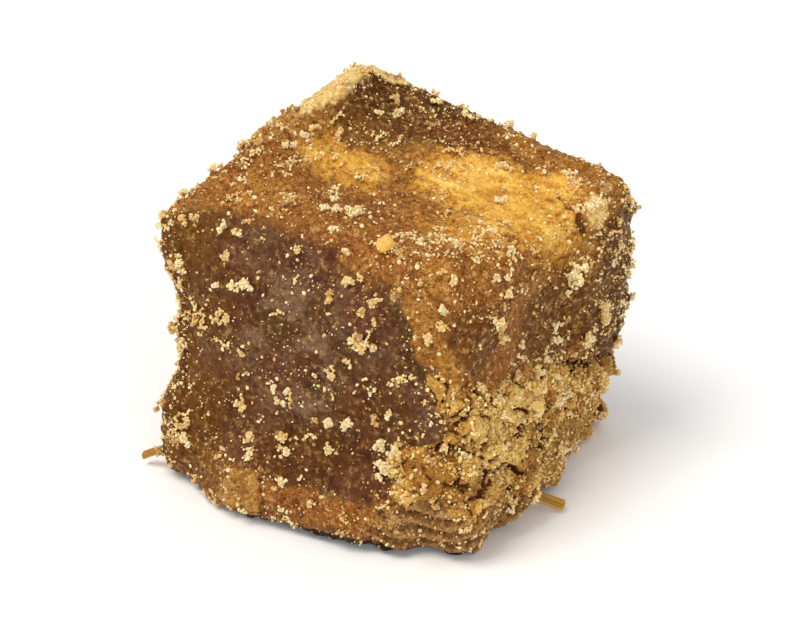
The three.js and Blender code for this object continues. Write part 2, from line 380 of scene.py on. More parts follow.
# %% The zones of the top and of the upper sides
zones["under_skin"] = soft_step(y, -10.5, -8) * (1 - soft_step(y, -1.5, 2.5))
zones["honey"] = any_of(
    area((3.9, 3.5, 22), (4.6, 3.1, 5), 0.4),
    0.8 * area((9.0, 2.6, 22), (4.0, 3.4, 5), 0.5),
    0.7 * area((-4.5, 0.6, 22.5), (3.7, 2.1, 5), 0.5),
    0.5 * area((7.2, -1.8, 21.5), (3.4, 2.6, 4), 0.7),
    area((9.6, 6.0, 22), (2.0, 1.4, 2.4), 0.5),
)
zones["honey"] *= 1 - 0.7 * area((-0.9, 2.0, 22.5), (0.9, 3.0, 4), 0.6)
zones["dark_seam"] = area((2.0, 7.4, 22.8), (4.4, 1.1, 3), 0.7)
zones["olive"] = any_of(
    soft_step(y, 3.0, 7) * (1 - 0.75 * soft_step(x, -1, 5) * soft_step(z, 19, 21)),
    0.65 * area((-5.5, 4.6, 23.6), (3.2, 2.6, 3), 0.5),
)
zones["right_brown"] = faces_right * area((13, 2.0, 13.8), (4, 4.8, 3.8), 0.5)
zones["purple"] = faces_right * area((11, -6.8, 16.4), (4, 2.3, 2.6), 0.5)
zones["amber"] = any_of(
    area((10.2, -10.6, 15), (1.6, 1.7, 5.0), 0.5),
    0.65 * area((-7.6, -6.4, 22), (3.8, 2.6, 2), 0.5),
    area((7.6, -7.4, 20.6), (1.4, 1.2, 1.6), 0.5),
)
zones["rim"] = any_of(
    0.7 * area((-10.6, 1.4, 23.8), (1.3, 4, 1.5)),
    0.1 * area((-12.0, -7, 22), (1.2, 5, 1.2)),
    area((-8.4, -0.4, 23.6), (0.8, 1.6, 2)),
)
zones["crust"] = any_of(
    area((-9.4, 6.4, 25.0), (1.7, 5.0, 1.6), 0.25),
    area((-7.8, 11.4, 24.2), (2.0, 1.3, 1.2), 0.25),
    0.9 * area((12.9, 6.0, 20.9), (1.0, 1.3, 1.0)),
)
zones["back_gold"] = area((7.5, 8.0, 22), (5.5, 2.4, 2.4), 0.6) * soft_step(z, 19.5, 21)

# %% How much of the block each zone takes
for name, share in zones.items():
    print(f"{name:12} {100 * share.mean():5.1f} % of the block")

# %% [markdown]
# ## The relief
#
# A cut face of jaggery looks like packed wet sand, with grains of about half a millimetre. The cast skin is the
# same stuff smoothed by the mould. The broken side is the roughest, because there the block came apart between
# larger clumps, with dark gaps between them. All of it is real relief in the mesh, pushed along the surface's
# own direction.

# %% Measure the random patterns once
SAND_SIZE, BIT_SIZE, CLUMP_SIZE = 0.6, 0.8, 1.9  # mm

swell = waves(body_points, 2.2, 7)
roll = waves(body_points, 5.0, 9)
grit = waves(body_points, 0.6, 8)
sand, sand_slant, _, sand_mark = chunks(body_points, SAND_SIZE, 1)
shaken = body_points + 0.25 * np.stack([grit, swell, sand_mark - 0.5], axis=1)
bit, bit_slant, bit_border, bit_mark = chunks(shaken, BIT_SIZE, 2)
clump, clump_slant, clump_border, clump_mark = chunks(shaken + 0.5 * swell[:, None], CLUMP_SIZE, 3)
print("the net has", round(SAND_SIZE / NET_SIZE, 1), "points across a grain of sand")

# %% [markdown]
# ## The cracks
#
# Where the block was broken off, thin cracks run between the clumps, and one opens on the top beside a pale
# flake. Each is a line of corners on the face that shows it, and the points near the line are pushed in. Seen
# through the same waves as the relief, the straight pieces of the line look torn.

# %% Cracks in the broken side, and one on the top
SIDE_CRACKS = [  # y, z
    [(-1.4, 4.7), (0.0, 4.8), (0.6, 5.1), (0.9, 5.8), (2.1, 6.3), (0.9, 7.6)],
    [(-9.0, 4.9), (-7.7, 5.1), (-8.1, 6.0), (-6.6, 5.9), (-5.4, 5.7), (-4.6, 4.9), (-4.1, 4.2)],
    [(-5.2, 5.5), (-5.8, 4.2), (-6.3, 3.9), (-5.6, 3.0)],
    [(0.8, 10.2), (2.4, 9.7), (4.0, 9.0), (6.0, 8.2), (8.0, 7.6), (10.0, 6.8)],
    [(-7.9, 12.9), (-7.6, 12.2), (-7.6, 11.3)],
    [(-4.4, 9.4), (-3.2, 8.9), (-2.6, 7.8), (-3.0, 6.8)],
]
TOP_CRACK = [(10.1, 5.1), (10.9, 4.8), (11.3, 4.2), (12.3, 4.2), (12.8, 4.6)]  # x, y
CRACK_WIDTH, CRACK_DEPTH = 0.14, 0.45  # mm
TOP_CRACK_SHARE = 0.6  # how deep the one on the top is beside the others


def along_line(points, path):
    """1 on a line, falling to 0 beside it."""
    return 1 - soft_step(distance_to_path(points, np.array(path)), 0.3 * CRACK_WIDTH, 1.6 * CRACK_WIDTH)


wandering = body_points + 0.4 * np.stack([0 * swell, swell, grit], axis=1)
side_crack = any_of(*[along_line(wandering * (0, 1, 1), [(0, y, z) for y, z in line]) for line in SIDE_CRACKS])
side_crack *= soft_step(body_points[:, 0], 8, 9.5)
top_crack = along_line(wandering * (1, 1, 0), [(x, y, 0) for x, y in TOP_CRACK])
top_crack *= soft_step(body_points[:, 2], 19, 19.5)
crack = any_of(side_crack, TOP_CRACK_SHARE * top_crack)
print("the cracks take", round(100 * float((crack > 0.5).mean()), 1), "% of the block")

# %% Measures that the relief is built from
broken, skin, rim, strata, honey = (zones[name] for name in ("broken", "skin", "rim", "strata", "honey"))
smooth_mass = zones["smooth_mass"]
rough = np.clip(broken * (1 - 0.6 * smooth_mass) + 0.5 * rim + 0.15 * zones["crust"], 0, 1) * (1 - 0.8 * strata)
clump_gap = 1 - soft_step(clump_border, 0.03, 0.22)
bit_gap = (1 - soft_step(bit_border, 0.02, 0.25)) * soft_step(swell, -0.4, 0.3)
bowl = np.linalg.norm(body_points - np.array(STRATA_BOWL), axis=1) + 0.35 * swell + 0.1 * grit
stratum = (bowl / STRATA_STEP) % 1
torn = waves(body_points + 0.3 * grit[:, None], (2.6, 0.8, 1.0), 14)
sandy = (1 - 0.4 * skin) * (1 - 0.5 * strata) * (1 - 0.5 * broken)
print("the rough part is", round(100 * float((rough > 0.5).mean()), 1), "% of the block")

# %% Push the relief in, with every height in millimetres
DEEPEST = 0.6  # of any hollow
FOOT_GAP = 0.3  # how far the front foot stands off the table

relief = 0.14 * swell + 0.12 * roll * (1 - skin) + 0.12 * grit
relief += sandy * (0.2 * (sand - 0.6) + 0.1 * (sand_mark - 0.5) + 0.08 * sand_slant)
relief += rough * (0.6 * (clump_mark - 0.5) + 0.5 * clump_slant + 0.7 * (clump - 0.6) - 0.3 * clump_gap)
relief += rough * (0.1 * (bit_mark - 0.5) + 0.12 * bit_slant + 0.22 * (bit - 0.6) - 0.1 * bit_gap)
relief -= CRACK_DEPTH * crack
relief += strata * (0.38 * soft_step(stratum, 0, 0.65) * soft_step(1 - stratum, 0, 0.45) - 0.15)
relief += 0.35 * zones["shelf"] + 0.3 * zones["crust"] + 0.3 * smooth_mass
relief += 0.35 * blob(body_points, (9.0, -12.3, 0.6), (2.4, 1.6, 1.4), 0.7)  # a bulge at the corner's foot
relief += honey * 0.22 * torn
relief = np.maximum(relief, -DEEPEST)

moved = body_points + body_normals * relief[:, None]
moved[:, 2] = np.maximum(moved[:, 2], 0)
moved[:, 2] += FOOT_GAP * blob(body_points, (4.0, -13.0, 0), (6.5, 3.6, 1.0))
place_points(surface, moved)
print("the relief goes from", round(relief.min(), 2), "to", round(relief.max(), 2), "mm")

# %% Keep the numbers with the mesh, for the material
def store(mesh, name, values):
    """Keeps one number for each point under a name that a material can read."""
    attribute = mesh.attributes.new(name, "FLOAT", "POINT")
    attribute.data.foreach_set("value", values.astype(np.float32))


HOLLOW_ROUNDS, FULL_HOLLOW = 14, 0.25  # a point this many mm below its surroundings is a full hollow

hollow = np.clip((relaxed(relief, net_edges, HOLLOW_ROUNDS) - relief) / FULL_HOLLOW, -1, 1)
# How much painted shade the gaps between clumps get. There is more of it where y is above -3 mm.
gap_shade_strength = 0.6 + 0.3 * soft_step(body_points[:, 1], -3, 0)
# How high the painted contact shadow reaches up the front foot, in mm.
contact_shadow_height = 0.75 * blob(body_points, (4.0, -12.5, 0), (8.5, 4.5, 2.0))
kept = {
    **zones,
    "hollow": np.maximum(hollow, crack),
    "painted_crack_shade": np.maximum(crack, gap_shade_strength * rough * clump_gap * soft_step(swell, -0.1, 0.3)),
    "clump_mark": clump_mark,
    "stratum": stratum,
    "torn": torn,
    "painted_contact_shadow": 1 - soft_step(body_points[:, 2] - contact_shadow_height + 0.1 * grit, 0.05, 0.3),
}
for name, values in kept.items():
    store(surface, name, values)
surface.shade_smooth()
print("each point keeps", len(kept), "numbers")

# %% [markdown]
# ## Materials
#
# Boiled sugar lets a little light in, so it glows warm at thin edges, and its dark skin is only a thin layer.
# One material paints the whole block. It reads the numbers that were stored with the mesh and lays one colour
# over another by them, and it breaks every border up with fine noise, so that no zone ends in a clean line.
# Procedural noise in the object's own space needs no unwrapping and stays sharp at any distance.

# %% A short way to write materials
def paint(red, green, blue):
    """A colour as it looks on a screen, 0 to 255, as the linear numbers that a shader wants."""
    screen = np.array([red, green, blue]) / 255
    return (*np.where(screen <= 0.04045, screen / 12.92, ((screen + 0.055) / 1.055) ** 2.4), 1.0)


class Mixer:
    """Adds nodes to a material and wires them up, so that a material reads as a short recipe."""

    def __init__(self, name):
        self.material = bpy.data.materials.new(name)
        self.material.use_nodes = True
        self.tree = self.material.node_tree
        self.shader = self.tree.nodes["Principled BSDF"]
        self.place = self.add("TexCoord").outputs["Object"]

    def add(self, kind):
        return self.tree.nodes.new("ShaderNode" + kind)

    def wire(self, source, socket):
        if isinstance(source, bpy.types.NodeSocket):
            self.tree.links.new(source, socket)
        else:
            socket.default_value = source

    def share(self, name):
        """A number that was stored with the mesh."""
        node = self.add("Attribute")
        node.attribute_name = name
        return node.outputs["Fac"]

    def noise(self, length_mm, detail=3, roughness=0.6, distortion=0.0):
        node = self.add("TexNoise")
        set_inputs(node, {
            "Scale": 1 / (length_mm * MM), "Detail": detail, "Roughness": roughness, "Distortion": distortion,
        })
        self.wire(self.place, node.inputs["Vector"])
        return node.outputs["Fac"]

    def math(self, kind, a, b):
        node = self.add("Math")
        node.operation = kind
        self.wire(a, node.inputs[0])
        self.wire(b, node.inputs[1])
        return node.outputs[0]

    def times(self, first, *others):
        for other in others:
            first = self.math("MULTIPLY", first, other)
        return first

    def rest_of(self, amount):
        """What is missing to 1."""
        return self.math("SUBTRACT", 1.0, amount)

    def between(self, value, low, high):
        """0 at low and 1 at high, with a soft slope between. Low may be the larger of the two."""
        node = self.add("MapRange")
        node.interpolation_type = "SMOOTHSTEP"
        self.wire(value, node.inputs["Value"])
        ends = (low, high, 0, 1) if low < high else (high, low, 1, 0)
        set_inputs(node, dict(zip(("From Min", "From Max", "To Min", "To Max"), ends)))
        return node.outputs["Result"]

    def blend(self, amount, under, over, kind="MIX"):
        """Lays one colour over another by an amount."""
        node = self.add("Mix")
        node.data_type = "RGBA"
        node.blend_type = kind
        self.wire(amount, node.inputs[0])
        self.wire(under, node.inputs[6])
        self.wire(over, node.inputs[7])
        return node.outputs[2]

    def lay(self, amount, over):
        """Lays a colour over all that the material has so far."""
        self.colour = self.blend(amount, self.colour, over)

    def darken(self, amount, tint):
        self.colour = self.blend(amount, self.colour, tint, "MULTIPLY")

    def bump(self, height, depth_mm):
        node = self.add("Bump")
        node.inputs["Distance"].default_value = depth_mm * MM
        self.wire(height, node.inputs["Height"])
        self.wire(node.outputs["Normal"], self.shader.inputs["Normal"])

    def soft_inside(self, weight, red_mm, green_mm, blue_mm):
        """Lets light into the sugar, red deepest."""
        set_inputs(self.shader, {
            "Subsurface Weight": weight, "Subsurface Radius": (red_mm, green_mm, blue_mm), "Subsurface Scale": MM,
        })

    def finished(self, roughness, gloss):
        """The material, with its colour wired to the shader."""
        self.wire(self.colour, self.shader.inputs["Base Color"])
        set_inputs(self.shader, {"Roughness": roughness, "Specular IOR Level": gloss})
        print(self.material.name, "has", len(self.tree.nodes), "nodes")
        return self.material


# %% [markdown]
# ## The boiled sugar, layer by layer
#
# The block's colours lie one over another: the plain colours of the slab, the cast skin with a painted sheen in
# its frost, the dried sugar and the broken side with a painted highlight on its ridges, and last painted shade in
# the hollows, the cracks and under the foot. Each has a cell of its own, in that order, so that any of them can
# be left out to see what it does.

# %% Start the material, with the noise that wears down every border
BORDER_WEAR = 0.9

mix = Mixer("boiled_cane_sugar")
cloud = mix.noise(4.0, 2, 0.5)
patch = mix.noise(1.3, 4, 0.6, 0.8)
fine = mix.noise(0.42, 4, 0.7, 0.4)
wear = mix.times(mix.math("SUBTRACT", mix.math("ADD", patch, fine), 1.0), BORDER_WEAR)


def worn(name, low=0.15, high=0.85):
    """A zone's share with its border broken up by the grain."""
    return mix.between(mix.math("ADD", mix.share(name), wear), low, high)


# %% The plain colours of the zones, the lowest layer first
ZONE_PAINTS = [  # zone, the share where its colour starts and where it is full, and the colour
    ("under_skin", 0.15, 0.85, paint(156, 98, 38)),
    ("olive", 0.15, 0.85, paint(100, 60, 8)),
    ("back_gold", 0.1, 0.9, paint(168, 110, 36)),
    ("dark_seam", 0.1, 0.9, paint(120, 66, 20)),
    ("honey", 0.05, 0.6, paint(202, 144, 50)),
    ("honey", 0.45, 1.05, paint(243, 190, 80)),
    ("amber", 0.15, 0.85, paint(176, 120, 46)),
    ("right_brown", 0.1, 0.9, paint(116, 72, 16)),
    ("purple", 0.15, 0.85, paint(118, 72, 24)),
    ("foot_band", 0.15, 0.85, paint(150, 100, 46)),
    ("foot_orange", 0.1, 0.9, paint(160, 98, 34)),
    ("shelf", 0.2, 0.8, paint(186, 136, 64)),
    ("worn_side", 0.15, 0.85, paint(170, 128, 56)),
]

mix.colour = mix.blend(mix.between(cloud, 0.36, 0.64), paint(148, 96, 36), paint(174, 120, 48))
for name, low, high, zone_colour in ZONE_PAINTS:
    mix.lay(worn(name, low, high), zone_colour)
band = mix.between(mix.share("stratum"), 0.2, 0.9)
mix.lay(worn("strata"), mix.blend(band, paint(126, 86, 40), paint(200, 156, 98)))
print(len(ZONE_PAINTS), "layers of plain colour")

# %% The cast skin: brown clouds, burnt patches and a pale frost that is partly dried sugar and partly painted sheen
burnt = mix.share("burnt")
drift = mix.noise(2.2, 2, 0.5, 0.5)
haze = mix.noise(2.8, 3, 0.55, 0.4)

skin_colour = mix.blend(mix.between(cloud, 0.4, 0.6), paint(98, 55, 27), paint(90, 59, 22))
skin_colour = mix.blend(mix.between(drift, 0.52, 0.66), skin_colour, paint(92, 49, 27))
skin_colour = mix.blend(mix.times(burnt, 0.9), skin_colour, paint(98, 54, 5))
# The pale frost is partly dried sugar and partly a painted sheen.
frost_and_sheen_share = mix.math("ADD", mix.times(mix.share("frost_and_sheen"), 0.45), 0.25)
frosted_and_sheened = mix.times(mix.between(haze, 0.42, 0.62), frost_and_sheen_share, mix.rest_of(mix.times(burnt, 0.8)))
skin_colour = mix.blend(frosted_and_sheened, skin_colour, paint(150, 118, 92))
mix.lay(worn("skin"), skin_colour)
mix.lay(mix.times(mix.share("left_glow"), 0.85), paint(110, 66, 6))
print("with the skin,", len(mix.tree.nodes), "nodes")

# %% The dried sugar, the broken side with a painted highlight on its ridges, and the torn honey core
mix.lay(mix.times(worn("rim"), 0.45), paint(204, 154, 76))
mix.lay(mix.times(worn("crust"), 0.9), paint(248, 216, 140))
clump_colour = mix.blend(mix.share("clump_mark"), paint(170, 118, 42), paint(222, 172, 84))
mix.lay(worn("broken"), clump_colour)
streak = mix.times(mix.share("honey"), 0.85)
mix.lay(mix.times(streak, mix.between(mix.share("torn"), 0.1, 0.7)), paint(255, 216, 116))
mix.lay(mix.times(streak, mix.between(mix.share("torn"), -0.05, -0.45)), paint(200, 134, 40))
mix.lay(mix.times(worn("smooth_mass"), 0.7), paint(164, 108, 34))
mix.lay(mix.times(mix.share("bright_flake"), 0.9), paint(255, 222, 132))
# A painted highlight on the broken side's ridges, where the relief stands above its surroundings.
painted_ridge_highlight = mix.times(mix.between(mix.share("hollow"), -0.15, -0.8), mix.share("broken"))
mix.lay(mix.times(painted_ridge_highlight, 0.85), paint(246, 206, 122))
print("with the broken side,", len(mix.tree.nodes), "nodes")

# %% Dark and pale specks, fewer of them where the block is bright or smooth
bright = mix.math("ADD", mix.times(mix.share("honey"), 0.5), mix.times(mix.share("crust"), 0.45))
dull = mix.rest_of(bright)
calm = mix.rest_of(mix.times(mix.share("skin"), 0.45))
dots = mix.noise(0.2, 2, 0.6)
# The dark specks from patch and fine fall where the bump is lowest. They are partly darker sugar and partly
# painted shade in those pits.
mix.darken(mix.times(mix.between(patch, 0.5, 0.34), 0.6, dull), paint(180, 134, 88))
mix.darken(mix.times(mix.between(fine, 0.5, 0.34), 0.5, dull), paint(150, 104, 60))
mix.darken(mix.times(mix.between(dots, 0.48, 0.36), mix.times(calm, 0.75), dull), paint(130, 84, 44))
plain = mix.math("ADD", mix.times(mix.share("broken"), 0.3), mix.times(mix.share("skin"), 0.2))
flecks = mix.math("SUBTRACT", 0.45, plain)
mix.lay(mix.times(mix.between(fine, 0.52, 0.66), flecks), paint(236, 188, 116))
print("with the specks,", len(mix.tree.nodes), "nodes")

# %% Painted shade in the hollows, the cracks and the gaps between clumps, and a painted contact shadow under the foot
# Painted shade in the hollows of the relief, and deeper painted shade in the crevices of the broken side.
painted_hollow_shade = mix.between(mix.share("hollow"), 0.1, 0.9)
painted_crevice_shade = mix.times(mix.between(mix.share("hollow"), 0.0, 0.55), mix.share("broken"))
mix.darken(mix.times(painted_hollow_shade, 0.8), paint(150, 92, 44))
mix.darken(mix.times(painted_crevice_shade, 0.85), paint(136, 80, 36))
# Painted shade, nearly black, in the cracks and in the gaps between clumps.
mix.lay(mix.times(mix.between(mix.share("painted_crack_shade"), 0.25, 0.8), 0.95), paint(66, 20, 4))
# A painted contact shadow: a near-black band along the bottom of the front foot, where it meets the table.
mix.lay(mix.share("painted_contact_shadow"), paint(34, 14, 4))

# %% Give the block its material
mix.soft_inside(0.2, 0.9, 0.45, 0.15)
mix.bump(mix.math("ADD", fine, mix.times(patch, 0.6)), 0.16)
surface.materials.clear()
surface.materials.append(mix.finished(roughness=0.42, gloss=0.12))
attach(block, "root")
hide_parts("jaggery_block")

# %% [markdown]
# ## Sugar grains and crumbs
#
# What sticks to the block is loose sugar: single crystals of a few tenths of a millimetre, curds of several that
# touch, and crumbs of up to two millimetres. A crystal has flat faces, so each starts as a ball with flats struck
# off it. Thousands of them are made as plain arrays of points and joined to one mesh for each kind, which is fast
# and keeps every grain a real shape. Their faces stay flat, because flat faces are what makes sugar glitter.

# %% Where a grain can stick
SEED = 23
LOWEST_GRAIN = 0.2  # mm above the table

dice = np.random.default_rng(SEED)
surface.calc_loop_triangles()
triangle_points = np.empty(len(surface.loop_triangles) * 3, dtype=np.int32)
surface.loop_triangles.foreach_get("vertices", triangle_points)
triangle_points = triangle_points.reshape(-1, 3)
final_points, final_normals = positions(surface), outward(surface)
corners = final_points[triangle_points]
first_side, second_side = corners[:, 1] - corners[:, 0], corners[:, 2] - corners[:, 0]
triangle_areas = np.linalg.norm(np.cross(first_side, second_side), axis=1) / 2
print("the block's surface is", round(triangle_areas.sum() / 100, 1), "square centimetres")


def scatter(count, density):
    """Random places on the block, more of them where the density is high, with the outward direction at each."""
    weight = triangle_areas * density[triangle_points].mean(axis=1)
    weight *= corners[:, :, 2].min(axis=1) > LOWEST_GRAIN
    chosen = triangle_points[dice.choice(len(weight), count, p=weight / weight.sum())]
    shares = dice.dirichlet((1, 1, 1), count)
    places = np.einsum("nk,nkj->nj", shares, final_points[chosen])
    directions = np.einsum("nk,nkj->nj", shares, final_normals[chosen])
    return places, unit(directions)


# %% The shapes of the grains
def chipped(kinds, subdivisions, flats, depth=(0.35, 0.75)):
    """Several balls of radius 1 with flats struck off, all with the same triangles but each its own shape."""
    mesh = bmesh.new()
    bmesh.ops.create_icosphere(mesh, subdivisions=subdivisions, radius=1)
    stones = np.repeat([[tuple(v.co) for v in mesh.verts]], kinds, axis=0)
    faces = np.array([[v.index for v in f.verts] for f in mesh.faces])
    mesh.free()
    for stone in stones:
        for _ in range(flats):
            facing = unit(dice.normal(size=3))
            stone -= np.maximum(stone @ facing - dice.uniform(*depth), 0)[:, None] * facing
    return stones, faces


CRYSTAL = chipped(kinds=30, subdivisions=1, flats=4)
STONE = chipped(kinds=30, subdivisions=2, flats=8)
LUMP = chipped(kinds=5, subdivisions=3, flats=14, depth=(0.7, 0.92))
PEBBLE = chipped(kinds=30, subdivisions=2, flats=9, depth=(0.36, 0.76))
for name, (_, faces) in {"crystal": CRYSTAL, "stone": STONE, "lump": LUMP, "pebble": PEBBLE}.items():
    print("a", name, "has", len(faces), "triangles")

# %% Turn and copy a shape
def random_turns(count):
    """Random rotations, as one 3 by 3 matrix each."""
    w, x, y, z = unit(dice.normal(size=(count, 4))).T
    return np.stack([
        np.stack([1 - 2 * (y * y + z * z), 2 * (x * y - z * w), 2 * (x * z + y * w)], axis=1),
        np.stack([2 * (x * y + z * w), 1 - 2 * (x * x + z * z), 2 * (y * z - x * w)], axis=1),
        np.stack([2 * (x * z - y * w), 2 * (y * z + x * w), 1 - 2 * (x * x + y * y)], axis=1),
    ], axis=1)


def upright_turns(directions):
    """Rotations that stand a shape's Z along each direction, with a random spin about it."""
    aside = unit(np.cross(directions, dice.normal(size=directions.shape)))
    return np.stack([aside, np.cross(directions, aside), directions], axis=2)


def copies(shape, places, sizes, tints):
    """Many copies of a shape's kinds, each stretched and turned at random."""
    stones, faces = shape
    picked = stones[dice.integers(len(stones), size=len(places))] * sizes[:, None]
    placed = places[:, None] + np.einsum("nij,nvj->nvi", random_turns(len(places)), picked)
    numbered = faces + stones.shape[1] * np.arange(len(places))[:, None, None]
    return placed.reshape(-1, 3), numbered.reshape(-1, 3), np.repeat(tints, stones.shape[1])


# %% Join copies to one mesh
OFF_THE_TABLE = 0.01  # mm, for any point that would be lower


def joined_piece(name, batches, material):
    """One mesh from batches of (points, faces, one tint for each point)."""
    first = np.cumsum([0] + [len(points) for points, _, _ in batches])
    points = np.concatenate([points for points, _, _ in batches])
    faces = np.concatenate([faces + start for (_, faces, _), start in zip(batches, first)])
    tints = np.concatenate([tints for _, _, tints in batches])
    points[:, 2] = np.maximum(points[:, 2], OFF_THE_TABLE)
    mesh = bpy.data.meshes.new(name)
    mesh.vertices.add(len(points))
    mesh.loops.add(faces.size)
    mesh.polygons.add(len(faces))
    mesh.vertices.foreach_set("co", (points * MM).ravel())
    mesh.loops.foreach_set("vertex_index", faces.ravel().astype(np.int32))
    mesh.polygons.foreach_set("loop_start", np.arange(0, faces.size, 3, dtype=np.int32))
    mesh.update(calc_edges=True)
    mesh.shade_flat()
    store(mesh, "tint", tints)
    mesh.materials.append(material)
    piece = bpy.data.objects.new(name, mesh)
    bpy.context.collection.objects.link(piece)
    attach(piece, "root")
    print(name, "has", len(faces), "triangles")


# %% The pale sugar
def sugar_material(name, dull, middle, pale, roughness=0.35):
    """Loose sugar, from dull to pale by the tint that each grain was given."""
    mix = Mixer(name)
    tint = mix.share("tint")
    mix.colour = mix.blend(mix.between(tint, 0.0, 0.5), dull, middle)
    mix.lay(mix.between(tint, 0.5, 1.0), pale)
    mix.darken(mix.times(mix.between(mix.noise(0.2, 3, 0.7), 0.5, 0.34), 0.4), paint(222, 178, 120))
    mix.soft_inside(0.35, 0.4, 0.25, 0.1)
    return mix.finished(roughness, gloss=0.4)


grain_sugar = sugar_material("loose_sugar", paint(176, 132, 74), paint(236, 190, 118), paint(255, 232, 178))
crumb_sugar = sugar_material("crumb_sugar", paint(180, 134, 60), paint(230, 184, 98), paint(255, 230, 156))
lump_sugar = sugar_material("lump_sugar", paint(190, 134, 56), paint(236, 184, 82), paint(255, 224, 144), 0.4)

# %% [markdown]
# ## Where the sugar collects
#
# Sugar rubs off on the edges, sticks to whatever is damp or rough, and falls from what faces down. So a grain's
# chance at each point is a sum of those causes. A cloudy pattern multiplies it, because loose sugar lies in
# drifts and is never spread evenly.

# %% How well sugar sticks to each point
STICKY_PLACES = [  # how much more, middle, radii
    (0.9, (13, 6, 17), (3, 4, 4)),
    (0.8, (8, -4, 21), (5, 4, 3)),
    (2.0, (-12.2, -11.5, 13), (1.6, 2, 9)),
]
BARE_PLACES = [((11, -5, 16), (4, 6, 5)), ((10, -11.5, 11.6), (2.6, 2, 2.4))]  # middle, radii
MISSING = 0.65  # the share of the sugar that a bare place has lost

facing_down = soft_step(-final_normals[:, 2], 0.2, 0.9)
drifts = np.exp(2.0 * waves(final_points, 2.6, 11) + 1.6 * waves(final_points, 0.9, 12))
edge_like = soft_step(np.linalg.norm(relaxed(final_normals, net_edges, 80), axis=1), 0.97, 0.86)
stickiness = 0.5 + 1.6 * edge_like - 0.15 * broken + 0.9 * rim
stickiness = stickiness + 0.35 * zones["olive"] + 0.4 * zones["under_skin"]
stickiness *= 1 - 0.4 * zones["crust"]
stickiness *= 1 - 0.45 * blob(final_points, (-1, -2.5, 22), (9, 5.5, 3), 0.5)
for more, middle, radii in STICKY_PLACES:
    stickiness += more * blob(final_points, middle, radii, 0.5)
skin_border = skin * (1 - skin)
stickiness += 3.0 * skin_border * blob(final_points, (8, -12, 13), (4, 4, 10), 0.3)
for middle, radii in BARE_PLACES:
    stickiness *= 1 - MISSING * blob(final_points, middle, radii, 0.4)
stickiness = stickiness * drifts * (1 - 0.9 * facing_down) * (1 - 0.6 * strata)
above_foot = soft_step(final_points[:, 2], 1.0, 1.8)  # no crumb hangs from the foot
print("sugar sticks", round(float(stickiness.max() / stickiness.mean())), "times better than the mean at best")

# %% Where the broken side has its sugar: on the ridges, and around the smooth lumps
thick = soft_step(waves(final_points, 2.6, 15), -0.2, 0.3)
mass_border = 4 * smooth_mass * (1 - smooth_mass)
on_ridges = broken * (0.06 + soft_step(-hollow, -0.3, 0.7)) * (0.2 + thick) * (1 - 0.92 * smooth_mass)
on_ridges = (on_ridges + 0.8 * mass_border * broken) * (1 - crack) * (1 - facing_down) * (1 - skin)
print("ridges with sugar take", round(100 * float((on_ridges > 0.5).mean()), 1), "% of the block")

# %% Single grains
GRAIN_LIFT = 0.04  # mm from the surface to a grain's middle


def grains(name, count, density, smallest, largest, paleness, material):
    """Single crystals between two sizes, most of them near the smaller one."""
    tints = dice.beta(*paleness, count)
    places, directions = scatter(count, density)
    sizes = smallest + (largest - smallest) * dice.random(count) ** 2.2
    sizes = sizes[:, None] * dice.uniform(0.65, 1.25, (count, 3))
    joined_piece(name, [copies(CRYSTAL, places + GRAIN_LIFT * directions, sizes, tints)], material)


grains("sugar_grains", 6000, stickiness * (1 - 0.6 * broken), 0.07, 0.2, (1.8, 1.0), grain_sugar)
grains("sugar_dust", 6500, 0.2 + stickiness, 0.04, 0.09, (1.6, 1.3), grain_sugar)
grains("broken_side_grains", 1100, on_ridges, 0.08, 0.22, (2.0, 1.2), crumb_sugar)

# %% [markdown]
# ## Curds and crumbs
#
# Grains that were once damp cling together. A few in a row make a curd, and a handful around a core makes a crumb
# that is half sunk in the block. The larger crumbs sit where the solid has them, and the others are scattered by
# the same chances as the single grains.

# %% Curds are a few grains in a row
def curds(places, directions, counts, size, tints):
    """Each curd is a short wandering row of touching grains on the surface."""
    turns = upright_turns(directions)
    steps = counts.max()
    heading = np.cumsum(dice.normal(0, 1.1, (len(places), steps)), axis=1)
    row = np.cumsum(np.stack([np.cos(heading), np.sin(heading), 0 * heading], axis=2) * 1.3 * size, axis=1)
    row[..., 2] = size * dice.uniform(0.0, 1.6, row.shape[:2])
    owner, step = np.nonzero(np.arange(steps) < counts[:, None])
    middles = places[owner] + np.einsum("nij,nj->ni", turns[owner], row[owner, step])
    sizes = size * dice.uniform(0.65, 1.3, (len(owner), 3))
    return copies(CRYSTAL, middles, sizes, np.clip(tints[owner] + dice.normal(0, 0.15, len(owner)), 0, 1))


CURDS = 580
CURD_GRAIN = 0.13  # mm, the mean radius of a curd's grains

places, directions = scatter(CURDS, stickiness * above_foot * (1 - 0.3 * broken))
counts = 2 + (10 * dice.random(CURDS) ** 2).astype(int)
tints = dice.beta(2.6, 1.2, CURDS)
joined_piece("sugar_curds", [curds(places, directions, counts, CURD_GRAIN, tints)], grain_sugar)

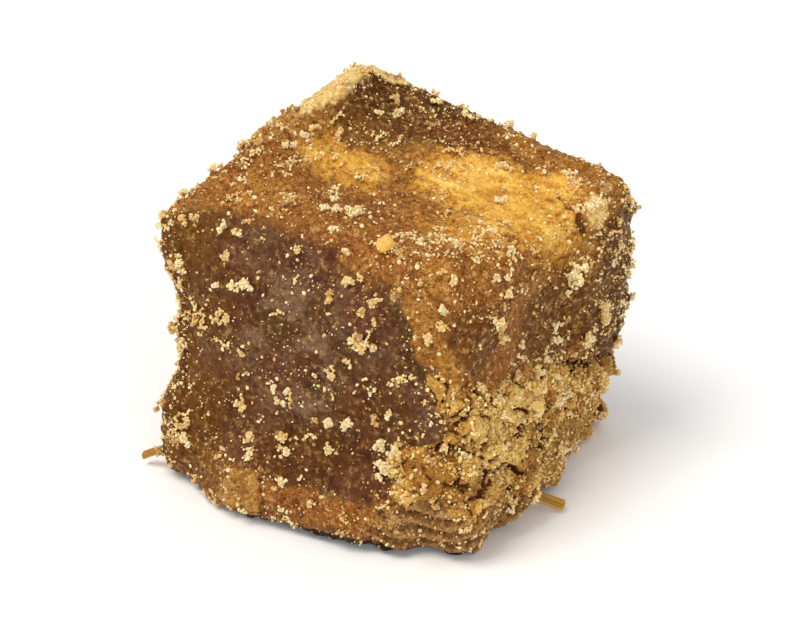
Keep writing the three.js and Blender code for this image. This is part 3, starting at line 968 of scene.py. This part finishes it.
# %% Crumbs are grains stuck together
def crumbs(places, directions, radii, tints, core=STONE, cores=(2, 3), core_share=0.58, stuck=1.0):
    """Ragged lumps: a few cores half sunk in the surface, each with small grains stuck to it."""
    turns = upright_turns(directions)
    owner = np.repeat(np.arange(len(places)), (cores[0] + cores[1] * radii / 0.5).astype(int))
    offset = dice.normal(0, 1, (len(owner), 3)) * (0.5, 0.32, 0.25) * radii[owner, None]
    lifted = np.abs(offset) * (0, 0, 1) + offset * (1, 1, 0)
    middles = places[owner] + np.einsum("nij,nj->ni", turns[owner], lifted)
    core_sizes = core_share * radii[owner] * dice.uniform(0.7, 1.15, len(owner))
    core_shapes = core_sizes[:, None] * dice.uniform(0.55, 1.25, (len(owner), 3))
    batches = [copies(core, middles, core_shapes, np.clip(tints[owner] - 0.1, 0, 1))]

    stuck_to = np.repeat(np.arange(len(owner)), (stuck * (2 + 2.5 * core_sizes / 0.25)).astype(int))
    where = unit(dice.normal(size=(len(stuck_to), 3)))
    sunk = np.einsum("nj,nj->n", where, directions[owner[stuck_to]]) < -0.1
    where[sunk] *= -1
    spots = middles[stuck_to] + where * core_sizes[stuck_to, None] * dice.uniform(0.8, 1.0, (len(stuck_to), 1))
    sizes = (0.07 + 0.1 * dice.random((len(stuck_to), 1))) * dice.uniform(0.7, 1.25, (len(stuck_to), 3))
    bit_tints = np.clip(tints[owner[stuck_to]] + 0.15 + dice.normal(0, 0.15, len(stuck_to)), 0, 1)
    batches.append(copies(CRYSTAL, spots, sizes, bit_tints))
    return batches


# %% Crumbs where the solid has them, and others scattered over the faces
SCATTERED_CRUMBS = 150

radii = np.clip(1.3 * standing_out[crumb_peaks] + 0.2, 0.3, 0.85)
tints = dice.beta(2.0, 1.8, len(crumb_peaks))
stuck_crumbs = crumbs(final_points[crumb_peaks], final_normals[crumb_peaks], radii, tints)
joined_piece("stuck_crumbs", stuck_crumbs, grain_sugar)

chance = stickiness * above_foot * (1 - 0.7 * broken) * (1 - zones["crust"])
places, directions = scatter(SCATTERED_CRUMBS, chance)
radii = 0.2 + 0.35 * dice.random(len(places)) ** 2
tints = dice.beta(2.0, 1.4, len(places))
joined_piece("scattered_crumbs", crumbs(places, directions, radii, tints), grain_sugar)

# %% More crumbs on the broken side, with a row of them along the ledge
SIDE_CRUMBS = 90
LEDGE_CRUMBS = 30


def on_face(marks, across, along, facing):
    """The point of the block nearest to each mark, seen straight on from the side that it faces."""
    seen = np.flatnonzero(final_normals @ np.array(facing) > 0.3)
    flat = final_points[seen][:, (across, along)]
    return np.array([seen[np.argmin(np.linalg.norm(flat - mark[:2], axis=1))] for mark in marks])


places, directions = scatter(SIDE_CRUMBS, on_ridges * above_foot)
ledge_y = dice.uniform(-8, 7, LEDGE_CRUMBS)
ledge_z = np.interp(ledge_y, LEDGE["y"], LEDGE["z"]) - dice.uniform(0.2, 1.6, LEDGE_CRUMBS)
ledge_spots = on_face(np.stack([ledge_y, ledge_z], axis=1), 1, 2, (1, 0, 0))
ledge_spots = ledge_spots[smooth_mass[ledge_spots] < 0.4]
places = np.concatenate([places, final_points[ledge_spots]])
directions = np.concatenate([directions, final_normals[ledge_spots]])
radii = 0.3 + 0.45 * dice.random(len(places)) ** 1.6
tints = 0.85 * dice.beta(1.8, 1.5, len(places))
side_crumbs = crumbs(places, directions, radii, tints, core=PEBBLE, cores=(2, 2), core_share=0.64, stuck=0.8)
joined_piece("broken_side_crumbs", side_crumbs, crumb_sugar)

# %% Crumbs that anyone would notice, by face
FRONT_CRUMBS = [  # x, z, radius
    (-5.5, 17.9, 0.85), (-10.9, 17.6, 0.7), (-11.0, 16.2, 0.5),
    (-7.7, 17.1, 0.4), (-7.3, 19.4, 0.4), (-7.0, 14.9, 0.7),
    (-2.4, 10.5, 0.5), (-5.0, 8.5, 0.7), (-1.4, 7.1, 0.6),
    (2.2, 7.2, 0.45), (1.9, 9.4, 0.5), (3.4, 9.6, 0.7),
    (2.0, 12.9, 0.6), (4.4, 16.2, 0.9), (7.8, 14.6, 0.5),
    (-10.1, 5.3, 0.6), (-9.7, 4.2, 0.6), (-3.6, 5.4, 0.55),
    (6.0, 8.5, 0.6), (7.3, 8.3, 0.6), (6.3, 6.6, 0.6),
    (2.3, 19.6, 0.7), (4.7, 18.8, 0.5), (-12.2, 8.4, 0.7),
]
TOP_CRUMBS = [  # x, y, radius
    (-8.3, 0.5, 0.6), (-8.5, -1.5, 0.5), (-4.9, -6.6, 0.6),
    (-0.6, -7.4, 0.5), (5.5, -6.0, 0.6), (7.3, -4.2, 0.5),
    (8.2, -0.9, 0.5), (6.9, 2.8, 0.6), (5.5, 5.5, 0.5),
    (-4.5, 7.2, 0.6), (11.0, 6.6, 0.7), (12.8, 5.8, 0.8),
]
RIGHT_CRUMBS = [  # y, z, radius
    (-5.2, 17.0, 0.7), (-4.7, 15.4, 0.7), (-2.4, 13.7, 0.45),
    (2.0, 13.0, 0.5), (4.6, 11.2, 0.8), (3.2, 16.9, 1.0),
    (6.4, 12.3, 1.0), (-6.5, 7.3, 1.0), (3.5, 6.5, 0.8),
    (-0.5, 10.4, 0.6), (-4.3, 10.6, 0.7), (-7.5, 13.0, 0.5),
]

marks = np.array(FRONT_CRUMBS + TOP_CRUMBS + RIGHT_CRUMBS)
spots = np.concatenate([
    on_face(np.array(FRONT_CRUMBS), 0, 2, (0, -1, 0)),
    on_face(np.array(TOP_CRUMBS), 0, 1, (0, 0, 1)),
    on_face(np.array(RIGHT_CRUMBS), 1, 2, (1, 0, 0)),
])
tints = dice.uniform(0.5, 1.0, len(marks))
radii = 0.9 * marks[:, 2]
noticed = crumbs(final_points[spots], final_normals[spots], radii, tints, cores=(3, 5), core_share=0.44)
joined_piece("noticed_crumbs", noticed, grain_sugar)

# %% One tan lump near the front edge of the top
TAN_LUMP = (3.8, -7.3)
TAN_LUMP_RADII = np.array([(0.74, 0.64, 0.7)])
LUMP_GRAINS = 16

spot = on_face(np.array([TAN_LUMP]), 0, 1, (0, 0, 1))
middle = final_points[spot] + 0.4 * final_normals[spot]
round_it = 0.68 * unit(dice.normal(size=(LUMP_GRAINS, 3)))
joined_piece("tan_lump", [
    copies(LUMP, middle, TAN_LUMP_RADII, np.array([0.6])),
    copies(CRYSTAL, middle + round_it, dice.uniform(0.06, 0.13, (LUMP_GRAINS, 3)), np.full(LUMP_GRAINS, 0.9)),
], lump_sugar)

# %% [markdown]
# ## Ends of cane fibre
#
# A little of the cane's fibre is always left in the juice. Two ends of it stick out near the foot, each a bundle
# of thin stiff threads that the knife cut square. Each thread is a tube along a slightly wandering line, and a
# bundle is seven of them side by side.

# %% Threads in a bundle
THREADS = 7
THREAD_SIDES = 6
THREAD_STEPS = 14
BUNDLES = {"right_fibre": 0.42, "left_fibre": 0.34}  # the radius of each


def curve_through(path, steps):
    """A smooth line from the first point to the last, pulled towards the middle one."""
    t = np.linspace(0, 1, steps)[:, None]
    return (1 - t) ** 2 * path[0] + 2 * t * (1 - t) * path[1] + t ** 2 * path[2]


def thread(line, radius):
    """A closed tube along a line, cut square at both ends."""
    along = unit(np.gradient(line, axis=0))
    aside = unit(np.cross(along, (0, 0, 1)))
    above = np.cross(aside, along)
    angles = np.linspace(0, 2 * math.pi, THREAD_SIDES, endpoint=False)
    ring = np.cos(angles)[:, None, None] * aside + np.sin(angles)[:, None, None] * above
    points = (line + radius * ring).transpose(1, 0, 2).reshape(-1, 3)
    faces = []
    for step in range(len(line) - 1):
        for side in range(THREAD_SIDES):
            a = step * THREAD_SIDES + side
            b = step * THREAD_SIDES + (side + 1) % THREAD_SIDES
            faces += [(a, b, b + THREAD_SIDES), (a, b + THREAD_SIDES, a + THREAD_SIDES)]
    last = (len(line) - 1) * THREAD_SIDES
    for side in range(1, THREAD_SIDES - 1):
        faces += [(0, side + 1, side), (last, last + side, last + side + 1)]
    return points, np.array(faces)


# %% The two ends of fibre
straw = sugar_material("cane_straw", paint(132, 88, 20), paint(190, 146, 50), paint(226, 188, 92), 0.5)
for name, bundle_radius in BUNDLES.items():
    batches = []
    middle_line = curve_through(FIBRE_PATHS[name], THREAD_STEPS)
    for number in range(THREADS):
        angle = 2 * math.pi * number / (THREADS - 1)
        off = 0 if number == THREADS - 1 else 0.62 * bundle_radius
        twist = angle + np.linspace(0, 0.8, THREAD_STEPS)
        line = middle_line + off * np.stack([0 * twist, np.cos(twist), np.sin(twist)], axis=1)
        points, faces = thread(line, 0.4 * bundle_radius * dice.uniform(0.85, 1.15))
        batches.append((points, faces, np.full(len(points), dice.uniform(0.2, 0.9))))
    joined_piece(name, batches, straw)
